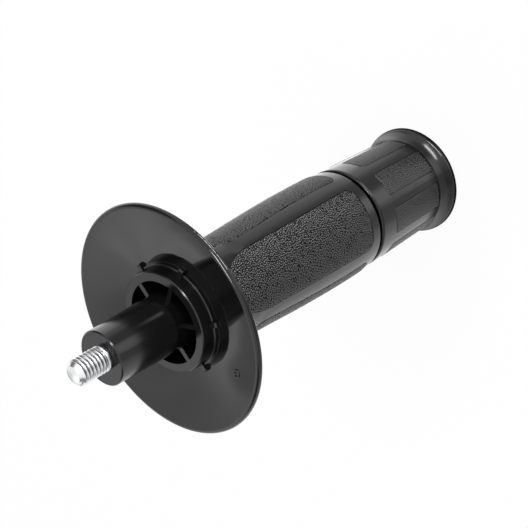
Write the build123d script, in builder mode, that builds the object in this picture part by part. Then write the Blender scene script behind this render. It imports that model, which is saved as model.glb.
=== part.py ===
from build123d import *
import os
from math import cos, radians, sin

# Side handle for a hand-held grinder: a moulded grip with a hand guard clipped round its collar,
# a cap that closes the tail, and a steel stud moulded into the nose.
# Millimetres. The handle's axis is Z. It stands on its tail end at Z = 0, with the stud on top.

# Lengths along the axis, from the tail to the stud
tail_length = 41.7
seam_gap = 1.5
grip_length = 77.3
disc_hub_thickness = 1.7
disc_dish = 4.2
collar_height = 4.4
nose_height = 28.8
stud_exposed = 10.4

# Outer form of the tail
rim_radius = 19.4
rim_edge_height = 1.2
rim_edge_chamfer = 0.8
rim_bead_height = 1.8
rim_bead_depth = 0.75
waist_radius = 16.85
waist_height = 7.0
flare_hollow = 0.25
tail_front_radius = 17.65
tail_front_round = 0.95
end_recess_radius = 14.0
end_recess_depth = 0.8
end_wall = 3.0

# Outer form of the grip
lip_radius = 17.6
lip_round = 0.65
belly_radius = 17.95
belly_distance = 9.8
grip_mid_radius = 17.0
grip_mid_distance = 35.0
neck_radius = 15.9
neck_distance = 5.5
shoulder_radius = 18.6
shoulder_thickness = 1.9
shoulder_chamfer = 0.4

# Plug of the tail cap in the hollow grip
seam_floor_radius = 15.9
cavity_radius = 14.0
cavity_chamfer = 2.0
plug_clearance = 0.1
plug_length = 12.0
plug_lead_in = 0.8
cap_core_radius = 11.9

# Collar, ribs and nose, cored out from the front
collar_front_radius = 16.07
collar_foot_radius = 16.6
collar_bore_radius = 13.3
collar_edge_chamfer = 0.3
bead_reach = 0.6
bead_height = 0.75
bead_chamfer = 0.3
pocket_depth = 42.1
pocket_floor_radius = 12.9
web_thickness = 4.0
nose_face_radius = 8.55
nose_root_radius = 9.15
nose_foot_radius = 9.6
nose_edge_chamfer = 0.35
nose_core_radius = 5.5
nose_core_roof = 7.0
rib_count = 6
rib_first_angle = 45.0
rib_thickness = 1.6
rib_drop = 0.3

# Guard disc and the lugs that hold it
disc_radius = 36.8
disc_rim_thickness = 1.75
disc_rim_round = 1.2
disc_rim_chamfer = 0.25
disc_bulge = 0.35
disc_land_width = 0.6
disc_bore_clearance = 0.3
disc_bore_chamfer = 0.15
lug_reach = 2.0
lug_width = 1.6
lug_height = 1.2
lug_lead_in = 0.5

# Stud with its moulded-in hexagonal anchor
thread_radius = 3.95
shank_radius = 4.0
shank_ring_height = 0.6
undercut_radius = 3.2
undercut_length = 0.9
tip_radius = 2.56
tip_chamfer_length = 1.4
anchor_depth = 32.0
anchor_across_flats = 13.0
anchor_height = 5.3
anchor_groove_radius = 3.3
anchor_groove_length = 3.0
anchor_groove_depth = 14.0

# Engraved outlines of the grained panels
grip_panel_count = 4
grip_panel_half_angle = 37.0
grip_panel_rear_margin = 4.2
grip_panel_front_margin = 5.7
grip_panel_round_end = 18.0
grip_panel_tip_round = 5.5
grip_panel_corner = 3.0
grip_line_width = 0.5
tail_panel_count = 8
tail_panel_first_angle = 22.5
tail_panel_half_angle = 15.5
tail_panel_rear_margin = 7.6
tail_panel_front_margin = 7.6
tail_panel_corner = 1.4
tail_line_width = 0.35
line_depth = 0.25
line_cut_margin = 1.0

# Stations along the axis
z_grip_rear = tail_length + seam_gap
z_belly = z_grip_rear + belly_distance
z_disc_seat = z_grip_rear + grip_length
z_grip_mid = z_disc_seat - grip_mid_distance
z_neck = z_disc_seat - neck_distance
z_hub = z_disc_seat + disc_hub_thickness
z_rim = z_hub + disc_dish
z_collar = z_hub + collar_height
z_nose = z_hub + nose_height
z_tip = z_nose + stud_exposed
z_pocket_floor = z_collar - pocket_depth
z_cavity_roof = z_pocket_floor - web_thickness
z_anchor = z_nose - anchor_depth
z_flare_end = rim_edge_height + rim_bead_height

# Radii that follow from a fit
flare_end_radius = rim_radius - rim_bead_depth
plug_radius = cavity_radius - plug_clearance
disc_bore_radius = collar_foot_radius + disc_bore_clearance
disc_land_radius = disc_bore_radius + disc_land_width
bead_radius = collar_foot_radius + bead_reach
lug_radius = collar_foot_radius + lug_reach
lug_root_radius = (collar_bore_radius + collar_front_radius) / 2


def angles_round(first, count):
    """Evenly spaced angles round the axis, from the first one."""
    return [first + step * 360 / count for step in range(count)]


def axial_plane(angle):
    """Plane through the axis: x points outwards at this angle, y along the axis."""
    outward = Vector(1, 0, 0).rotate(Axis.Z, angle)
    return Plane(origin=(0, 0, 0), x_dir=outward, z_dir=outward.rotate(Axis.Z, -90))


def facing_plane(angle, distance):
    """Plane that faces outwards at this angle and distance from the axis, with y along the axis."""
    outward = Vector(1, 0, 0).rotate(Axis.Z, angle)
    return Plane(origin=outward * distance, x_dir=outward.rotate(Axis.Z, 90), z_dir=outward)


def round_corner(profile, corner, radius):
    """Round the corner of a profile that lies at this radius and height."""
    fillet(profile.vertices().sort_by_distance((*corner, 0))[0], radius)


def cut_corner(profile, corner, length):
    """Chamfer the corner of a profile that lies at this radius and height."""
    chamfer(profile.vertices().sort_by_distance((*corner, 0))[0], length)


def tail_side(inset):
    """Side of the tail from its front edge to the end of its flare, moved in by an inset."""
    front = (tail_front_radius - inset, tail_length)
    waist = (waist_radius - inset, waist_height)
    Line(front, waist)
    SagittaArc(waist, (flare_end_radius - inset, z_flare_end), -flare_hollow)


def grip_side(inset):
    """Side of the grip from its rear lip to its neck, moved in by an inset."""
    belly = (belly_radius - inset, z_belly)
    TangentArc(belly, (lip_radius - inset, z_grip_rear), tangent=(0, -1))
    swell = TangentArc(belly, (grip_mid_radius - inset, z_grip_mid), tangent=(0, 1))
    TangentArc(swell @ 1, (neck_radius - inset, z_neck), tangent=swell % 1)


# Steel stud
with BuildPart() as threaded_stud:
    with BuildSketch(Plane.XZ):
        with BuildLine():
            Polyline(
                (0, z_anchor),
                (shank_radius, z_anchor),
                (shank_radius, z_nose - anchor_groove_depth - anchor_groove_length),
                (anchor_groove_radius, z_nose - anchor_groove_depth - anchor_groove_length),
                (anchor_groove_radius, z_nose - anchor_groove_depth),
                (shank_radius, z_nose - anchor_groove_depth),
                (shank_radius, z_nose + shank_ring_height),
                (undercut_radius, z_nose + shank_ring_height),
                (undercut_radius, z_nose + shank_ring_height + undercut_length),
                (thread_radius, z_nose + shank_ring_height + undercut_length),
                (thread_radius, z_tip - tip_chamfer_length),
                (tip_radius, z_tip),
                (0, z_tip),
                close=True,
            )
        make_face()
    revolve(axis=Axis.Z)
    with BuildSketch(Plane.XY.offset(z_anchor)):
        RegularPolygon(anchor_across_flats / 2, 6, major_radius=False)
    extrude(amount=anchor_height)
threaded_stud.part.label = "threaded_stud"

# Round hand guard, dished towards the stud
with BuildPart() as guard_disc:
    with BuildSketch(Plane.XZ) as profile:
        with BuildLine():
            back_rim = (disc_radius, z_rim - disc_rim_thickness)
            SagittaArc((disc_land_radius, z_hub), (disc_radius, z_rim), disc_bulge)
            Polyline(
                (disc_radius, z_rim),
                back_rim,
                (shoulder_radius, z_disc_seat),
                (disc_bore_radius, z_disc_seat),
                (disc_bore_radius, z_hub),
                (disc_land_radius, z_hub),
            )
        make_face()
        round_corner(profile, (disc_radius, z_rim), disc_rim_round)
        cut_corner(profile, back_rim, disc_rim_chamfer)
        cut_corner(profile, (disc_bore_radius, z_hub), disc_bore_chamfer)
    revolve(axis=Axis.Z)
guard_disc.part.label = "guard_disc"

# Lugs on the collar, which lie on the disc's front
with BuildPart() as lugs:
    for angle in angles_round(rib_first_angle, rib_count):
        with BuildSketch(axial_plane(angle)):
            with BuildLine():
                Polyline(
                    (lug_root_radius, z_hub),
                    (lug_radius, z_hub),
                    (lug_radius, z_hub + lug_height - lug_lead_in),
                    (lug_radius - lug_lead_in, z_hub + lug_height),
                    (lug_root_radius, z_hub + lug_height),
                    close=True,
                )
            make_face()
        extrude(amount=lug_width / 2, both=True)
    add(guard_disc.part, mode=Mode.SUBTRACT)

# Engraved outlines round the grained panels of the grip
with BuildPart() as grip_lines:
    z_rear = z_grip_rear + grip_panel_rear_margin
    z_front = z_disc_seat - grip_panel_front_margin
    z_round = z_front - grip_panel_round_end
    rear_half = belly_radius * sin(radians(grip_panel_half_angle))
    front_half = (grip_mid_radius + neck_radius) / 2 * sin(radians(grip_panel_half_angle))
    start = neck_radius * cos(radians(grip_panel_half_angle)) - line_cut_margin
    for angle in angles_round(0, grip_panel_count):
        with BuildSketch(facing_plane(angle, start)) as outline:
            with BuildLine():
                Polyline((-front_half, z_round), (-rear_half, z_rear), (rear_half, z_rear), (front_half, z_round))
                TangentArc((-front_half, z_round), (0, z_front), tangent=(0, 1))
                TangentArc((front_half, z_round), (0, z_front), tangent=(0, 1))
            make_face()
            round_corner(outline, (0, z_front), grip_panel_tip_round)
            round_corner(outline, (-rear_half, z_rear), grip_panel_corner)
            round_corner(outline, (rear_half, z_rear), grip_panel_corner)
            offset(amount=-grip_line_width, mode=Mode.SUBTRACT)
        extrude(amount=belly_radius + line_cut_margin - start)
    with BuildSketch(Plane.XZ):
        with BuildLine():
            grip_side(line_depth)
            Polyline(
                (lip_radius - line_depth, z_grip_rear),
                (0, z_grip_rear),
                (0, z_neck),
                (neck_radius - line_depth, z_neck),
            )
        make_face()
    revolve(axis=Axis.Z, mode=Mode.SUBTRACT)

# Grip with its collar, ribs, nose and lugs
with BuildPart() as handle_body:
    with BuildSketch(Plane.XZ) as profile:
        with BuildLine():
            Line((0, z_grip_rear), (lip_radius, z_grip_rear))
            grip_side(0)
            TangentArc((neck_radius, z_neck), (shoulder_radius, z_disc_seat - shoulder_thickness), tangent=(0, 1))
            Polyline(
                (shoulder_radius, z_disc_seat - shoulder_thickness),
                (shoulder_radius, z_disc_seat),
                (collar_foot_radius, z_disc_seat),
                (collar_foot_radius, z_hub),
                (bead_radius, z_hub),
                (bead_radius, z_hub + bead_height),
                (collar_foot_radius, z_hub + bead_height),
                (collar_front_radius, z_collar),
                (0, z_collar),
                (0, z_grip_rear),
            )
        make_face()
        round_corner(profile, (lip_radius, z_grip_rear), lip_round)
        cut_corner(profile, (shoulder_radius, z_disc_seat - shoulder_thickness), shoulder_chamfer)
        cut_corner(profile, (bead_radius, z_hub + bead_height), bead_chamfer)
        cut_corner(profile, (collar_front_radius, z_collar), collar_edge_chamfer)
    revolve(axis=Axis.Z)
    add(grip_lines.part, mode=Mode.SUBTRACT)
    # front pocket
    with BuildSketch(Plane.XZ):
        with BuildLine():
            Polyline(
                (0, z_pocket_floor),
                (pocket_floor_radius, z_pocket_floor),
                (collar_bore_radius, z_collar),
                (0, z_collar),
                close=True,
            )
        make_face()
    revolve(axis=Axis.Z, mode=Mode.SUBTRACT)
    # nose column
    with BuildSketch(Plane.XZ) as profile:
        with BuildLine():
            Polyline(
                (0, z_pocket_floor),
                (nose_foot_radius, z_pocket_floor),
                (nose_root_radius, z_collar),
                (nose_face_radius, z_nose),
                (0, z_nose),
                close=True,
            )
        make_face()
        cut_corner(profile, (nose_face_radius, z_nose), nose_edge_chamfer)
    revolve(axis=Axis.Z)
    # ribs between nose and collar
    rib_start = (nose_face_radius + shank_radius) / 2
    rib_end = (collar_bore_radius + collar_front_radius) / 2
    with BuildSketch(Plane.XY.offset(z_pocket_floor)):
        with PolarLocations((rib_start + rib_end) / 2, rib_count, start_angle=rib_first_angle):
            Rectangle(rib_end - rib_start, rib_thickness)
    extrude(amount=z_collar - rib_drop - z_pocket_floor)
    add(lugs.part)
    # rear cavity and the core under the stud
    with BuildSketch(Plane.XZ) as profile:
        with BuildLine():
            Polyline(
                (0, z_grip_rear),
                (cavity_radius, z_grip_rear),
                (cavity_radius, z_cavity_roof),
                (nose_core_radius, z_cavity_roof),
                (nose_core_radius, z_anchor - nose_core_roof),
                (0, z_anchor - nose_core_roof),
                close=True,
            )
        make_face()
        cut_corner(profile, (cavity_radius, z_cavity_roof), cavity_chamfer)
    revolve(axis=Axis.Z, mode=Mode.SUBTRACT)
    add(threaded_stud.part, mode=Mode.SUBTRACT)
handle_body.part.label = "handle_body"

# Engraved outlines round the grained panels of the tail
with BuildPart() as tail_lines:
    z_rear = tail_panel_rear_margin
    z_front = tail_length - tail_panel_front_margin
    half_width = (waist_radius + tail_front_radius) / 2 * sin(radians(tail_panel_half_angle))
    start = waist_radius * cos(radians(tail_panel_half_angle)) - line_cut_margin
    for angle in angles_round(tail_panel_first_angle, tail_panel_count):
        with BuildSketch(facing_plane(angle, start)):
            with Locations((0, (z_rear + z_front) / 2)):
                RectangleRounded(2 * half_width, z_front - z_rear, tail_panel_corner)
            offset(amount=-tail_line_width, mode=Mode.SUBTRACT)
        extrude(amount=tail_front_radius + line_cut_margin - start)
    with BuildSketch(Plane.XZ):
        with BuildLine():
            tail_side(line_depth)
            Polyline(
                (flare_end_radius - line_depth, z_flare_end),
                (0, z_flare_end),
                (0, tail_length),
                (tail_front_radius - line_depth, tail_length),
            )
        make_face()
    revolve(axis=Axis.Z, mode=Mode.SUBTRACT)

# Tail cap, plugged into the grip
with BuildPart() as tail_cap:
    with BuildSketch(Plane.XZ) as profile:
        with BuildLine():
            Polyline(
                (0, end_recess_depth),
                (end_recess_radius, end_recess_depth),
                (end_recess_radius, 0),
                (rim_radius, 0),
                (rim_radius, rim_edge_height),
            )
            TangentArc((rim_radius, rim_edge_height), (flare_end_radius, z_flare_end), tangent=(0, 1))
            tail_side(0)
            Polyline(
                (tail_front_radius, tail_length),
                (seam_floor_radius, tail_length),
                (seam_floor_radius, z_grip_rear),
                (plug_radius, z_grip_rear),
                (plug_radius, z_grip_rear + plug_length - plug_lead_in),
                (plug_radius - plug_lead_in, z_grip_rear + plug_length),
                (cap_core_radius, z_grip_rear + plug_length),
                (cap_core_radius, end_wall),
                (0, end_wall),
                (0, end_recess_depth),
            )
        make_face()
        cut_corner(profile, (rim_radius, 0), rim_edge_chamfer)
        round_corner(profile, (tail_front_radius, tail_length), tail_front_round)
    revolve(axis=Axis.Z)
    add(tail_lines.part, mode=Mode.SUBTRACT)
tail_cap.part.label = "tail_cap"

os.makedirs("parts", exist_ok=True)
export_step(threaded_stud.part, "parts/threaded_stud.step")
export_step(handle_body.part, "parts/handle_body.step")
export_step(guard_disc.part, "parts/guard_disc.step")
export_step(tail_cap.part, "parts/tail_cap.step")
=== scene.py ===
import math

import bpy
from mathutils import Matrix, Vector, noise
from mathutils.bvhtree import BVHTree


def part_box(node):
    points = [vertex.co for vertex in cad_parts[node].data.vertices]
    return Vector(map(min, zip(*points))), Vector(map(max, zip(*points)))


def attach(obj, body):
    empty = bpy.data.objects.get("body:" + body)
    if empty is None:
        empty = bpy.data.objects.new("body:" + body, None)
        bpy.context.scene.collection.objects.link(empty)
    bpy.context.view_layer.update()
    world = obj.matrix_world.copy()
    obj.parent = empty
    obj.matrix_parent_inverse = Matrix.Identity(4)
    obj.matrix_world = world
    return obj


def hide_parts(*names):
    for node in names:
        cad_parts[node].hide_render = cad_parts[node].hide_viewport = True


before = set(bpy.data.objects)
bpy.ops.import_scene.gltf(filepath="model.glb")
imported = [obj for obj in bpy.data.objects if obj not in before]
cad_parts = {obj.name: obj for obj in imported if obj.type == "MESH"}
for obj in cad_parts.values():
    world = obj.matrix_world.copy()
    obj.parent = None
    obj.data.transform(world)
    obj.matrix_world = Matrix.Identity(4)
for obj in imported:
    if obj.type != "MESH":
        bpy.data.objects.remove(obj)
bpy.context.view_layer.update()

# Side handle of a grinder, which stands on its tail end. Sizes and places are in millimetres and
# angles in degrees, unless the words beside them say otherwise.
MM = 0.001

# Camera: it is placed from a target on the axis, this deep below the nose's face, looks at it,
# and is then rolled, panned and tilted
CAMERA_TARGET_DEPTH = 25.0
CAMERA_DISTANCE = 352.3
CAMERA_FROM_AXIS = 54.56
CAMERA_AZIMUTH = 11.0
CAMERA_ROLL = -120.17
CAMERA_PAN = -4.72
CAMERA_TILT = 2.77
CAMERA_LENS = 81.84
CAMERA_SENSOR = 36.0
CAMERA_CLIP_START = 10.0

# Outlines of the grained panels on the grip
GRIP_PANELS = 4
GRIP_HALF_ANGLE = 37.0
GRIP_REAR_MARGIN = 4.2
GRIP_FRONT_MARGIN = 5.7
GRIP_ROUND_END = 18.0
GRIP_TIP_ROUND = 5.5
GRIP_CORNER = 3.0
GRIP_LINE = 0.5
GRIP_BELLY_DISTANCE = 9.8               # from the grip's rear to its belly, which sets the rear width
STRIP_ANGLE = math.pi / GRIP_PANELS     # in radians, the middle of a smooth strip

# Outlines of the grained panels on the tail
TAIL_PANELS = 8
TAIL_FIRST_ANGLE = 22.5
TAIL_HALF_ANGLE = 15.5
TAIL_REAR_MARGIN = 7.6
TAIL_FRONT_MARGIN = 7.6
TAIL_CORNER = 1.4
TAIL_LINE = 0.35
SEAM_GAP = 1.5

# Leather grain: spacing of its points, size, scatter and steepness of the pebbles, their height,
# the share of that height on the grip and on the tail
GRAIN_STEP = 0.15
GRAIN_SIZE = 0.68
GRAIN_JITTER = 0.84
GRAIN_STEEPNESS = 1.3
GRAIN_HEIGHT = 0.28
GRIP_GRAIN = 1.0
TAIL_GRAIN = 0.8

# How a sheet of grain sits: its lowest height over the wall, the depth that its edge is sunk to,
# the width over which its relief fades in, and how far it reaches into the engraved line
GRAIN_LIFT = 0.02
GRAIN_DROP = 0.2
GRAIN_EDGE = 0.25
GRIP_OVERLAP = 0.40
TAIL_OVERLAP = 0.25

# Thread of the stud: root and flank are shares of half a pitch
PITCH = 1.25
CREST_RADIUS = 4.0
ROOT_RADIUS = 3.23
ROOT_SHARE = 0.12
FLANK_SHARE = 0.74
THREAD_PHASE = 0.15
THREAD_RUN_OUT = 0.3

# Rest of the stud: hidden head, plain shank and ring, gap below the thread, chamfered tip
HEAD_RADIUS = 6.5
HEAD_HEIGHT = 5.3
SHANK_RADIUS = 4.0
RING_HEIGHT = 0.45
RING_ROUND = 0.1
GAP_RADIUS = 3.45
GAP_LENGTH = 0.25
TIP_RADIUS = 2.56
TIP_CHAMFER = 1.4
TIP_ROUND = 0.15
STUD_SIDES = 128
STUD_STEP = 0.04

# Ring-shaped mark of an ejector pin on the guard
MARK_DISTANCE = 27.8
MARK_AZIMUTH = 316.0
MARK_RADIUS = 1.1
MARK_TUBE_RADIUS = 0.3
MARK_RING_SIDES = 48
MARK_TUBE_SIDES = 10

# Colours and gloss of the plastics: the two shades multiply the body's black into painted shade
# down in the grain's creases and a painted highlight on its pebbles, and the grain's painted shine,
# low in the creases and high on the pebbles, grows between these two of its heights
PLASTIC_IOR = 1.54
BODY_BLACK = (0.004, 0.004, 0.0042)
GUARD_BLACK = (0.003, 0.003, 0.0035)
CREASE_PAINTED_SHADE = 0.3
PEBBLE_PAINTED_HIGHLIGHT = 1.6
CREASE_ROUGHNESS = 0.45
PEBBLE_ROUGHNESS = 0.20
PAINTED_SHINE_HEIGHTS = (0.05, 0.9)

# Colours of the zinc, from painted shade at the thread's root at 0 to its crest at 1: the height
# at which the crest's colour is full, and the height that the stud's plain faces count as
ZINC_ROOT_PAINTED_SHADE = (0.16, 0.16, 0.165)
ZINC_CREST = (0.88, 0.885, 0.90)
ZINC_FULL_CREST = 0.75
PLAIN_CREST = 0.8

# Floor: half its side, its paint, and the share of plain white that the camera sees over that
# lit and shaded paint
FLOOR_HALF = 3000.0
FLOOR_PAINT = (0.82, 0.82, 0.82)
FLOOR_WHITE = 0.94

# Shade on the floor close round the foot of the handle, which only mirror images show
FOOT_SHADE = 0.1
FOOT_SHADE_INNER = 21.0
FOOT_SHADE_OUTER = 26.5

# Soft dimmer and brighter sectors of the floor, which only mirror images show: azimuth,
# elevation, inner and outer angle, share of the light
FLOOR_PATCHES = [
    (13.0, 0.0, 4.0, 20.0, 1.5),
    (47.0, 0.0, 6.0, 28.0, 0.45),
    (-22.0, 0.0, 6.0, 26.0, 0.6),
    (128.0, 0.0, 22.0, 48.0, 1.8),
    (-92.0, 0.0, 20.0, 40.0, 1.2),
    (195.0, 0.0, 8.0, 22.0, 0.6),
]

# Soft patches of the surroundings, in the same form, which the camera doesn't see: they show in
# mirror images and in the light on the handle
SKY_PATCHES = [
    (-18.0, 16.0, 8.0, 26.0, 0.45),
    (-50.0, 4.0, 12.0, 40.0, 0.6),
    (113.0, 2.0, 5.0, 25.0, 0.6),
    (-169.0, -8.0, 12.0, 28.0, 0.4),
    (-158.0, 31.0, 3.0, 11.0, 1.22),
    (-151.0, 43.0, 4.0, 13.0, 1.25),
    (-177.0, 40.0, 4.0, 13.0, 0.85),
    (-172.0, 23.0, 2.0, 7.0, 0.55),
    (128.0, 35.0, 14.0, 28.0, 0.15),
    (-98.0, 35.0, 8.0, 26.0, 0.15),
]

# Height that the lamps face
LAMP_TARGET_Z = 80.0

# Start of the rays that find a wall from outside, and a front from above
RAY_START = 60.0
RAY_TOP = 1000.0


def station(node, corner):
    """Height of a node's lowest (0) or highest (1) corner, in millimetres."""
    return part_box(node)[corner][2] / MM


# Heights and insets that follow from the frame and the sizes above
GRIP_REAR_Z = station("handle_body", 0)
NOSE_Z = station("handle_body", 1)
DISC_SEAT_Z = station("guard_disc", 0)
STUD_HEAD_Z = station("threaded_stud", 0)
TIP_Z = station("threaded_stud", 1)
TAIL_LENGTH = GRIP_REAR_Z - SEAM_GAP
GRIP_PANEL_REAR_Z = GRIP_REAR_Z + GRIP_REAR_MARGIN
GRIP_ROUND_Z = DISC_SEAT_Z - GRIP_FRONT_MARGIN - GRIP_ROUND_END
GRIP_INSET = GRIP_LINE - GRIP_OVERLAP
TAIL_INSET = TAIL_LINE - TAIL_OVERLAP
RING_Z = NOSE_Z + RING_HEIGHT
THREAD_START_Z = RING_Z + GAP_LENGTH


# Points, faces and meshes
def clamp(value):
    """The value, held between 0 and 1."""
    return min(max(value, 0.0), 1.0)


def evenly(start, end, step):
    """Evenly spaced heights from start to end, about a step apart."""
    count = max(2, round((end - start) / step))
    return [start + (end - start) * i / count for i in range(count + 1)]


def around(radius, angle, z):
    """Point at this radius, angle in radians and height, in metres."""
    return Vector((radius * math.cos(angle), radius * math.sin(angle), z)) * MM


def direction(azimuth, elevation):
    """Unit vector towards this azimuth and elevation."""
    turn = math.radians(azimuth)
    rise = math.radians(elevation)
    return Vector((math.cos(rise) * math.cos(turn), math.cos(rise) * math.sin(turn), math.sin(rise)))


def grid_faces(rows, columns, closed_rows=False, closed_columns=False):
    """Faces between the neighbours in a grid of points, which may close into a ring either way."""
    faces = []
    for row in range(rows if closed_rows else rows - 1):
        this_row = row * columns
        next_row = (row + 1) % rows * columns
        for column in range(columns if closed_columns else columns - 1):
            beside = (column + 1) % columns
            faces.append((this_row + column, this_row + beside, next_row + beside, next_row + column))
    return faces


def add_mesh(name, points, faces, material):
    """New smooth mesh object that rides on the part's only body."""
    mesh = bpy.data.meshes.new(name)
    mesh.from_pydata(points, [], faces)
    mesh.polygons.foreach_set("use_smooth", [True] * len(faces))
    mesh.materials.append(material)
    mesh.update()
    piece = bpy.data.objects.new(name, mesh)
    bpy.context.scene.collection.objects.link(piece)
    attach(piece, "root")
    return piece


def store(piece, name, values):
    """Keeps one number for each point of a piece, which its material reads."""
    piece.data.attributes.new(name, "FLOAT", "POINT").data.foreach_set("value", values)


# Material nodes
def new_material(name):
    """Node material with a Principled shader: returns the material, its tree and the shader."""
    material = bpy.data.materials.new(name)
    material.use_nodes = True
    tree = material.node_tree
    return material, tree, tree.nodes["Principled BSDF"]


def add_node(tree, kind, settings=None, **inputs):
    """Adds a node and sets its properties and input values."""
    node = tree.nodes.new(kind)
    for key, value in (settings or {}).items():
        setattr(node, key, value)
    for key, value in inputs.items():
        node.inputs[key.replace("_", " ")].default_value = value
    return node


def stored(tree, name):
    """The number that a piece keeps under this name."""
    return add_node(tree, "ShaderNodeAttribute", {"attribute_name": name}).outputs["Fac"]


def noise_on_object(tree, scale, detail):
    """Noise from 0 to 1, fixed to the object's own coordinates."""
    place = add_node(tree, "ShaderNodeTexCoord")
    texture = add_node(tree, "ShaderNodeTexNoise", Scale=scale, Detail=detail)
    tree.links.new(place.outputs["Object"], texture.inputs["Vector"])
    return texture.outputs["Fac"]


def remap(tree, source, before, after, smooth=False):
    """Maps a value from one range onto another and holds it at the ends."""
    node = add_node(tree, "ShaderNodeMapRange")
    if smooth:
        node.interpolation_type = "SMOOTHSTEP"
    for place, value in zip(("From Min", "From Max", "To Min", "To Max"), (*before, *after)):
        node.inputs[place].default_value = value
    tree.links.new(source, node.inputs["Value"])
    return node.outputs["Result"]


def combine(tree, operation, first, second):
    """Result of a Math node on two values, each of them a number or the output of a node."""
    node = add_node(tree, "ShaderNodeMath", {"operation": operation})
    for place, value in zip(node.inputs, (first, second)):
        if isinstance(value, bpy.types.NodeSocket):
            tree.links.new(value, place)
        else:
            place.default_value = value
    return node.outputs["Value"]


def shaded(tree, source, low, high, full=1.0):
    """Colour that goes from low at 0 to high where the source reaches full."""
    ramp = add_node(tree, "ShaderNodeValToRGB")
    first, last = ramp.color_ramp.elements
    first.color = (*low, 1)
    last.color = (*high, 1)
    last.position = full
    tree.links.new(source, ramp.inputs["Fac"])
    return ramp.outputs["Color"]


def add_bump(tree, shader, height, strength, distance):
    """Bump from a height output; its distance is in metres."""
    bump = add_node(tree, "ShaderNodeBump", Strength=strength, Distance=distance)
    tree.links.new(height, bump.inputs["Height"])
    tree.links.new(bump.outputs["Normal"], shader.inputs["Normal"])


# Materials
def plastic(name, colour, roughness, bump_scale, bump_strength, bump_distance):
    """Black moulded plastic: roughness drifts within its range, with the texture of the mould."""
    material, tree, shader = new_material(name)
    shader.inputs["Base Color"].default_value = (*colour, 1)
    shader.inputs["IOR"].default_value = PLASTIC_IOR
    drift = noise_on_object(tree, scale=90.0, detail=2.0)
    tree.links.new(remap(tree, drift, (0.0, 1.0), roughness), shader.inputs["Roughness"])
    texture = noise_on_object(tree, bump_scale, detail=4.0)
    add_bump(tree, shader, texture, bump_strength, bump_distance)
    return material


def grained_plastic_with_painted_shade(name, crease_shine_painted_shade, pebble_shine_painted_highlight):
    """Black plastic with painted shade in its grain: creases painted dark and dull, pebbles painted
    lighter and extra glossy.
    """
    material, tree, shader = new_material(name)
    shader.inputs["IOR"].default_value = PLASTIC_IOR
    height = stored(tree, "grain")
    # Painted shade and highlight: the shine is cut down in the creases and raised on the pebbles
    shine = remap(tree, height, PAINTED_SHINE_HEIGHTS, (crease_shine_painted_shade, pebble_shine_painted_highlight), smooth=True)
    tree.links.new(shine, shader.inputs["Specular IOR Level"])
    roughness = remap(tree, height, (0.0, 1.0), (CREASE_ROUGHNESS, PEBBLE_ROUGHNESS))
    tree.links.new(roughness, shader.inputs["Roughness"])
    # Painted shade in the creases and a painted highlight on the pebbles, in the base colour
    crease = [CREASE_PAINTED_SHADE * value for value in BODY_BLACK]
    pebble = [PEBBLE_PAINTED_HIGHLIGHT * value for value in BODY_BLACK]
    tree.links.new(shaded(tree, height, crease, pebble), shader.inputs["Base Color"])
    texture = noise_on_object(tree, scale=5000.0, detail=4.0)
    add_bump(tree, shader, texture, strength=0.15, distance=0.00003)
    return material


def bright_zinc():
    """Bright zinc plating with fine scuffs, and painted shade that darkens it down in the thread."""
    material, tree, shader = new_material("bright_zinc")
    shader.inputs["Metallic"].default_value = 1.0
    # Painted shade: the zinc darkens from the thread's crest down to its root
    colour = shaded(tree, stored(tree, "crest"), ZINC_ROOT_PAINTED_SHADE, ZINC_CREST, ZINC_FULL_CREST)
    tree.links.new(colour, shader.inputs["Base Color"])
    scuffs = noise_on_object(tree, scale=900.0, detail=4.0)
    tree.links.new(remap(tree, scuffs, (0.0, 1.0), (0.16, 0.32)), shader.inputs["Roughness"])
    add_bump(tree, shader, scuffs, strength=0.2, distance=0.00003)
    return material


# Surfaces of the frame that the pieces sit on
def surface(node):
    """Search tree over the faces of a node."""
    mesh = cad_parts[node].data
    return BVHTree.FromPolygons([v.co for v in mesh.vertices], [p.vertices for p in mesh.polygons])


def wall_finder(node):
    """Function that gives the radius of a node's outer wall at an angle in radians and a height."""
    tree = surface(node)

    def wall_radius(angle, z):
        start = around(RAY_START, angle, z)
        inward = around(-1.0, angle, 0.0).normalized()
        hit = tree.ray_cast(start, inward)[0]
        return math.hypot(hit.x, hit.y) / MM

    return wall_radius


def front_finder(node):
    """Function that gives the height of a node's front at a place across the axis."""
    tree = surface(node)

    def front_height(x, y):
        hit = tree.ray_cast(Vector((x, y, RAY_TOP)) * MM, Vector((0, 0, -1)))[0]
        return hit.z / MM

    return front_height


# Outlines of the panels
def arc_half(radius, distance):
    """Half width of a circle at this distance from its centre, and 0 outside it."""
    return math.sqrt(max(radius**2 - distance**2, 0))


def corner_loss(distance, radius):
    """How much narrower a rounded corner is at this distance from the end."""
    if distance >= radius:
        return 0
    return radius - arc_half(radius, radius - distance)


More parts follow.
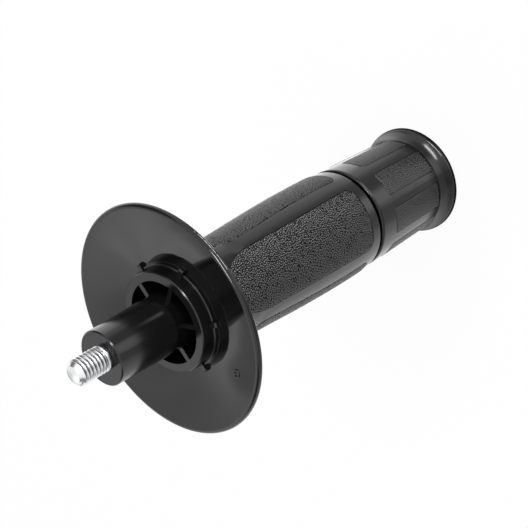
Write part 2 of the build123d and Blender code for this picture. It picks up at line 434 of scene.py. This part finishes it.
def grip_half_width(z, wall_radius):
    """Half width of a grip panel inside its engraved line, measured square to its middle."""
    sine = math.sin(math.radians(GRIP_HALF_ANGLE))
    rear_half = wall_radius(STRIP_ANGLE, GRIP_REAR_Z + GRIP_BELLY_DISTANCE) * sine
    front_half = wall_radius(STRIP_ANGLE, GRIP_ROUND_Z) * sine
    if z > GRIP_ROUND_Z:
        side = (GRIP_ROUND_END**2 + front_half**2) / (2 * front_half)
        tip_z = GRIP_ROUND_Z + math.sqrt((side - GRIP_TIP_ROUND) ** 2 - (side - front_half) ** 2)
        width = front_half - side + arc_half(side - GRIP_INSET, z - GRIP_ROUND_Z)
        if z > tip_z:
            width = min(width, arc_half(GRIP_TIP_ROUND - GRIP_INSET, z - tip_z))
        return max(width, 0)
    along = (z - GRIP_PANEL_REAR_Z) / (GRIP_ROUND_Z - GRIP_PANEL_REAR_Z)
    width = rear_half + (front_half - rear_half) * along - GRIP_INSET
    return width - corner_loss(z - GRIP_PANEL_REAR_Z - GRIP_INSET, GRIP_CORNER - GRIP_INSET)


# Leather grain
def row_shift(row):
    """Every other row of pebbles is moved on by half a pebble."""
    return 0.5 * (row % 2)


def pebble_centre(column, row):
    """Middle of one pebble, scattered about its even place by fixed noise."""
    scatter = noise.cell_vector((column, row, 0.5))
    u = column + 0.5 + row_shift(row) + (scatter.x - 0.5) * GRAIN_JITTER
    v = row + 0.5 + (scatter.y - 0.5) * GRAIN_JITTER
    return u, v


def grain_height(u, v):
    """Height of the grain, 0 in a crease and 1 on a pebble, at a place counted in pebbles."""
    row = math.floor(v)
    distances = []
    for near_row in (row - 1, row, row + 1):
        column = math.floor(u - row_shift(near_row))
        for near_column in (column - 1, column, column + 1):
            centre_u, centre_v = pebble_centre(near_column, near_row)
            distances.append(math.hypot(u - centre_u, v - centre_v))
    near, second = sorted(distances)[:2]
    return min(GRAIN_STEEPNESS * (second - near) / (second + near), 1.0)


def grained_panel(name, angle, half_widths, wall_radius, depth, material):
    """Sheet of grain on the wall inside a panel's outline, from the half width at each height."""
    heights = list(half_widths)
    columns = max(4, round(2 * max(half_widths.values()) / GRAIN_STEP))
    points = []
    grain = []
    for z, half in half_widths.items():
        wall = wall_radius(angle, z)
        for column in range(columns + 1):
            across = half * (2 * column / columns - 1)
            place = angle + math.asin(across / wall)
            level = 1 - depth * (1 - grain_height(place * wall / GRAIN_SIZE, z / GRAIN_SIZE))
            inset = min(half - abs(across), z - heights[0], heights[-1] - z)
            lift = -GRAIN_DROP
            if inset > 0:
                lift = GRAIN_LIFT + GRAIN_HEIGHT * (level - 1 + depth) * min(inset / GRAIN_EDGE, 1)
            points.append(around(wall + lift, place, z))
            grain.append(level)
    piece = add_mesh(name, points, grid_faces(len(heights), columns + 1), material)
    store(piece, "grain", grain)
    return piece


def add_grip_panels(material):
    """Four long grained panels between the grip's smooth strips."""
    wall_radius = wall_finder("handle_body")
    heights = evenly(GRIP_PANEL_REAR_Z + GRIP_INSET, GRIP_ROUND_Z + GRIP_ROUND_END, GRAIN_STEP)
    widths = {z: grip_half_width(z, wall_radius) for z in heights}
    widths = {z: width for z, width in widths.items() if width > GRAIN_STEP}
    for index in range(GRIP_PANELS):
        angle = 2 * math.pi * index / GRIP_PANELS
        name = f"grip_grain_{index}"
        piece = grained_panel(name, angle, widths, wall_radius, GRIP_GRAIN, material)


def add_tail_panels(material):
    """Eight short grained panels round the tail."""
    wall_radius = wall_finder("tail_cap")
    rear = TAIL_REAR_MARGIN + TAIL_INSET
    front = TAIL_LENGTH - TAIL_FRONT_MARGIN - TAIL_INSET
    middle = wall_radius(0.0, (rear + front) / 2)
    half = middle * math.sin(math.radians(TAIL_HALF_ANGLE)) - TAIL_INSET
    corner = TAIL_CORNER - TAIL_INSET
    heights = evenly(rear, front, GRAIN_STEP)
    widths = {z: half - corner_loss(min(z - rear, front - z), corner) for z in heights}
    for index in range(TAIL_PANELS):
        angle = math.radians(TAIL_FIRST_ANGLE) + 2 * math.pi * index / TAIL_PANELS
        name = f"tail_grain_{index}"
        piece = grained_panel(name, angle, widths, wall_radius, TAIL_GRAIN, material)


# Stud
def thread_ridge(angle, z):
    """Height of the right-handed thread, 0 at its root and 1 at its crest; angle in radians."""
    turn = ((z - THREAD_START_Z) / PITCH - angle / (2 * math.pi) + THREAD_PHASE) % 1.0
    ridge = clamp((abs(turn * 2 - 1) - ROOT_SHARE) / FLANK_SHARE)
    return ridge * clamp((z - THREAD_START_Z) / THREAD_RUN_OUT)


def add_stud(material):
    """Steel stud with its helical thread, which stands for the plain one."""
    below_thread = [
        (0.0, STUD_HEAD_Z),
        (HEAD_RADIUS, STUD_HEAD_Z),
        (HEAD_RADIUS, STUD_HEAD_Z + HEAD_HEIGHT),
        (SHANK_RADIUS, STUD_HEAD_Z + HEAD_HEIGHT),
        (SHANK_RADIUS, RING_Z - RING_ROUND),
        (SHANK_RADIUS - RING_ROUND, RING_Z),
        (GAP_RADIUS, RING_Z + RING_ROUND),
    ]
    turns = [2 * math.pi * side / STUD_SIDES for side in range(STUD_SIDES)]
    points = []
    crests = []
    for radius, z in below_thread:
        points += [around(radius, angle, z) for angle in turns]
        crests += [PLAIN_CREST] * STUD_SIDES
    for z in evenly(THREAD_START_Z, TIP_Z - TIP_ROUND, STUD_STEP):
        cone = TIP_RADIUS + (TIP_Z - z) * (CREST_RADIUS - TIP_RADIUS) / TIP_CHAMFER
        for angle in turns:
            ridge = thread_ridge(angle, z)
            radius = ROOT_RADIUS + (CREST_RADIUS - ROOT_RADIUS) * ridge
            points.append(around(min(radius, cone), angle, z))
            crests.append(ridge if radius < cone else 1.0)
    rim = len(points)
    points += [around(TIP_RADIUS - TIP_ROUND, angle, TIP_Z) for angle in turns]
    tip = len(points)
    points.append(around(0.0, 0.0, TIP_Z))
    crests += [1.0] * (STUD_SIDES + 1)
    faces = grid_faces(tip // STUD_SIDES, STUD_SIDES, closed_columns=True)
    faces += [(rim + side, rim + (side + 1) % STUD_SIDES, tip) for side in range(STUD_SIDES)]
    piece = add_mesh("zinc_stud", points, faces, material)
    store(piece, "crest", crests)
    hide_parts("threaded_stud")


# Mark of an ejector pin
def add_mould_mark(material):
    """Small raised ring on the front of the guard, as an ejector pin leaves it."""
    front_height = front_finder("guard_disc")
    azimuth = math.radians(MARK_AZIMUTH)
    points = []
    for tube_side in range(MARK_TUBE_SIDES):
        tube_angle = 2 * math.pi * tube_side / MARK_TUBE_SIDES
        radius = MARK_RADIUS + MARK_TUBE_RADIUS * math.cos(tube_angle)
        for ring_side in range(MARK_RING_SIDES):
            ring_angle = 2 * math.pi * ring_side / MARK_RING_SIDES
            x = MARK_DISTANCE * math.cos(azimuth) + radius * math.cos(ring_angle)
            y = MARK_DISTANCE * math.sin(azimuth) + radius * math.sin(ring_angle)
            z = front_height(x, y) + MARK_TUBE_RADIUS * math.sin(tube_angle)
            points.append(Vector((x, y, z)) * MM)
    faces = grid_faces(MARK_TUBE_SIDES, MARK_RING_SIDES, closed_rows=True, closed_columns=True)
    piece = add_mesh("mould_mark", points, faces, material)


# Studio
def patched_light(tree, bearing, patches):
    """Share of the light: 1, apart from soft dimmer or brighter patches round some directions."""
    light = 1.0
    for azimuth, elevation, inner, outer, share in patches:
        nearness = add_node(tree, "ShaderNodeVectorMath", {"operation": "DOT_PRODUCT"})
        nearness.inputs[1].default_value = direction(azimuth, elevation)
        tree.links.new(bearing, nearness.inputs[0])
        edges = (math.cos(math.radians(outer)), math.cos(math.radians(inner)))
        patch = remap(tree, nearness.outputs["Value"], edges, (1.0, share), smooth=True)
        light = combine(tree, "MULTIPLY", light, patch)
    return light


def white_to_camera(tree, path, light):
    """Strength of 1 for the camera, and of the given light for every other ray."""
    choice = add_node(tree, "ShaderNodeMix")
    choice.inputs["B"].default_value = 1.0
    tree.links.new(path.outputs["Is Camera Ray"], choice.inputs["Factor"])
    tree.links.new(light, choice.inputs["A"])
    return choice.outputs["Result"]


def floor_light(tree):
    """Light of the floor at each place: its patches, and the shade round the handle's foot."""
    place = add_node(tree, "ShaderNodeTexCoord").outputs["Object"]
    bearing = add_node(tree, "ShaderNodeVectorMath", {"operation": "NORMALIZE"})
    tree.links.new(place, bearing.inputs[0])
    patches = patched_light(tree, bearing.outputs["Vector"], FLOOR_PATCHES)
    distance = add_node(tree, "ShaderNodeVectorMath", {"operation": "LENGTH"})
    tree.links.new(place, distance.inputs[0])
    edges = (FOOT_SHADE_INNER * MM, FOOT_SHADE_OUTER * MM)
    shade = remap(tree, distance.outputs["Value"], edges, (FOOT_SHADE, 1.0), smooth=True)
    return combine(tree, "MULTIPLY", patches, shade)


def floor_material():
    """White floor that keeps a faint shadow for the camera; mirror images see it patched."""
    material = bpy.data.materials.new("studio_floor")
    material.use_nodes = True
    tree = material.node_tree
    tree.nodes.clear()
    path = add_node(tree, "ShaderNodeLightPath")
    paint = add_node(tree, "ShaderNodeBsdfDiffuse", Color=(*FLOOR_PAINT, 1))
    white = add_node(tree, "ShaderNodeEmission", Color=(1, 1, 1, 1))
    tree.links.new(white_to_camera(tree, path, floor_light(tree)), white.inputs["Strength"])
    white_shares = {"Is Camera Ray": FLOOR_WHITE, "Is Glossy Ray": 1.0, "Is Transmission Ray": 1.0}
    share = 0.0
    for ray, most in white_shares.items():
        share = combine(tree, "MAXIMUM", share, combine(tree, "MULTIPLY", path.outputs[ray], most))
    mix = add_node(tree, "ShaderNodeMixShader")
    tree.links.new(share, mix.inputs["Fac"])
    tree.links.new(paint.outputs["BSDF"], mix.inputs[1])
    tree.links.new(white.outputs["Emission"], mix.inputs[2])
    output = add_node(tree, "ShaderNodeOutputMaterial")
    tree.links.new(mix.outputs["Shader"], output.inputs["Surface"])
    return material


def add_floor():
    """Square floor under the handle."""
    half = FLOOR_HALF * MM
    corners = [(-half, -half, 0), (half, -half, 0), (half, half, 0), (-half, half, 0)]
    mesh = bpy.data.meshes.new("studio_floor")
    mesh.from_pydata(corners, [], [(0, 1, 2, 3)])
    mesh.materials.append(floor_material())
    floor = bpy.data.objects.new("studio_floor", mesh)
    bpy.context.scene.collection.objects.link(floor)


def set_world():
    """White backdrop; the light it gives is even, apart from its soft patches."""
    world = bpy.data.worlds.new("studio")
    world.use_nodes = True
    bpy.context.scene.world = world
    tree = world.node_tree
    background = tree.nodes["Background"]
    background.inputs["Color"].default_value = (1, 1, 1, 1)
    place = add_node(tree, "ShaderNodeTexCoord")
    path = add_node(tree, "ShaderNodeLightPath")
    light = patched_light(tree, place.outputs["Generated"], SKY_PATCHES)
    tree.links.new(white_to_camera(tree, path, light), background.inputs["Strength"])


def add_softbox(name, azimuth, elevation, distance, width, height, power):
    """Rectangular lamp that faces the middle of the handle; its lengths are in metres."""
    lamp = bpy.data.lights.new(name, "AREA")
    lamp.shape = "RECTANGLE"
    lamp.size = width
    lamp.size_y = height
    lamp.energy = power
    away = direction(azimuth, elevation)
    holder = bpy.data.objects.new(name, lamp)
    holder.location = Vector((0, 0, LAMP_TARGET_Z * MM)) + away * distance
    holder.rotation_euler = away.to_track_quat("Z", "Y").to_euler()
    bpy.context.scene.collection.objects.link(holder)


def add_camera():
    """Camera at the photograph's viewpoint, rolled so that the stud points to the lower left."""
    camera = bpy.data.cameras.new("camera")
    camera.lens = CAMERA_LENS
    camera.sensor_width = CAMERA_SENSOR
    camera.clip_start = CAMERA_CLIP_START * MM
    target = Vector((0, 0, NOSE_Z - CAMERA_TARGET_DEPTH))
    away = direction(CAMERA_AZIMUTH, 90 - CAMERA_FROM_AXIS)
    right = direction(CAMERA_AZIMUTH + 90, 0)
    base = Matrix((right, away.cross(right), away)).transposed()
    turn = Matrix.Rotation(math.radians(CAMERA_ROLL), 3, "Z")
    turn = turn @ Matrix.Rotation(math.radians(CAMERA_PAN), 3, "Y")
    turn = turn @ Matrix.Rotation(math.radians(CAMERA_TILT), 3, "X")
    place = Matrix.Translation((target + away * CAMERA_DISTANCE) * MM)
    holder = bpy.data.objects.new("camera", camera)
    holder.matrix_world = place @ (base @ turn).to_4x4()
    bpy.context.scene.collection.objects.link(holder)
    bpy.context.scene.camera = holder


# The handle
body_plastic = plastic(
    "body_plastic",
    BODY_BLACK,
    roughness=(0.13, 0.20),
    bump_scale=2500.0,
    bump_strength=0.05,
    bump_distance=0.00002,
)
disc_plastic = plastic(
    "disc_plastic",
    GUARD_BLACK,
    roughness=(0.04, 0.09),
    bump_scale=45.0,
    bump_strength=0.3,
    bump_distance=0.0004,
)
finishes = {"handle_body": body_plastic, "tail_cap": body_plastic, "guard_disc": disc_plastic}
for node, finish in finishes.items():
    for material_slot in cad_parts[node].material_slots:
        material_slot.material = finish
add_grip_panels(grained_plastic_with_painted_shade("grip_grain_plastic", crease_shine_painted_shade=0.04, pebble_shine_painted_highlight=1.75))
add_tail_panels(grained_plastic_with_painted_shade("tail_grain_plastic", crease_shine_painted_shade=0.15, pebble_shine_painted_highlight=1.2))
add_stud(bright_zinc())
add_mould_mark(disc_plastic)

# Surroundings
add_floor()
set_world()
add_softbox("key_box", azimuth=38.0, elevation=4.0, distance=1.2, width=0.75, height=0.15, power=5.2)
add_softbox("top_box", azimuth=50.0, elevation=72.0, distance=1.2, width=0.12, height=0.72, power=5.2)
add_camera()
bpy.context.scene.view_settings.view_transform = "Standard"
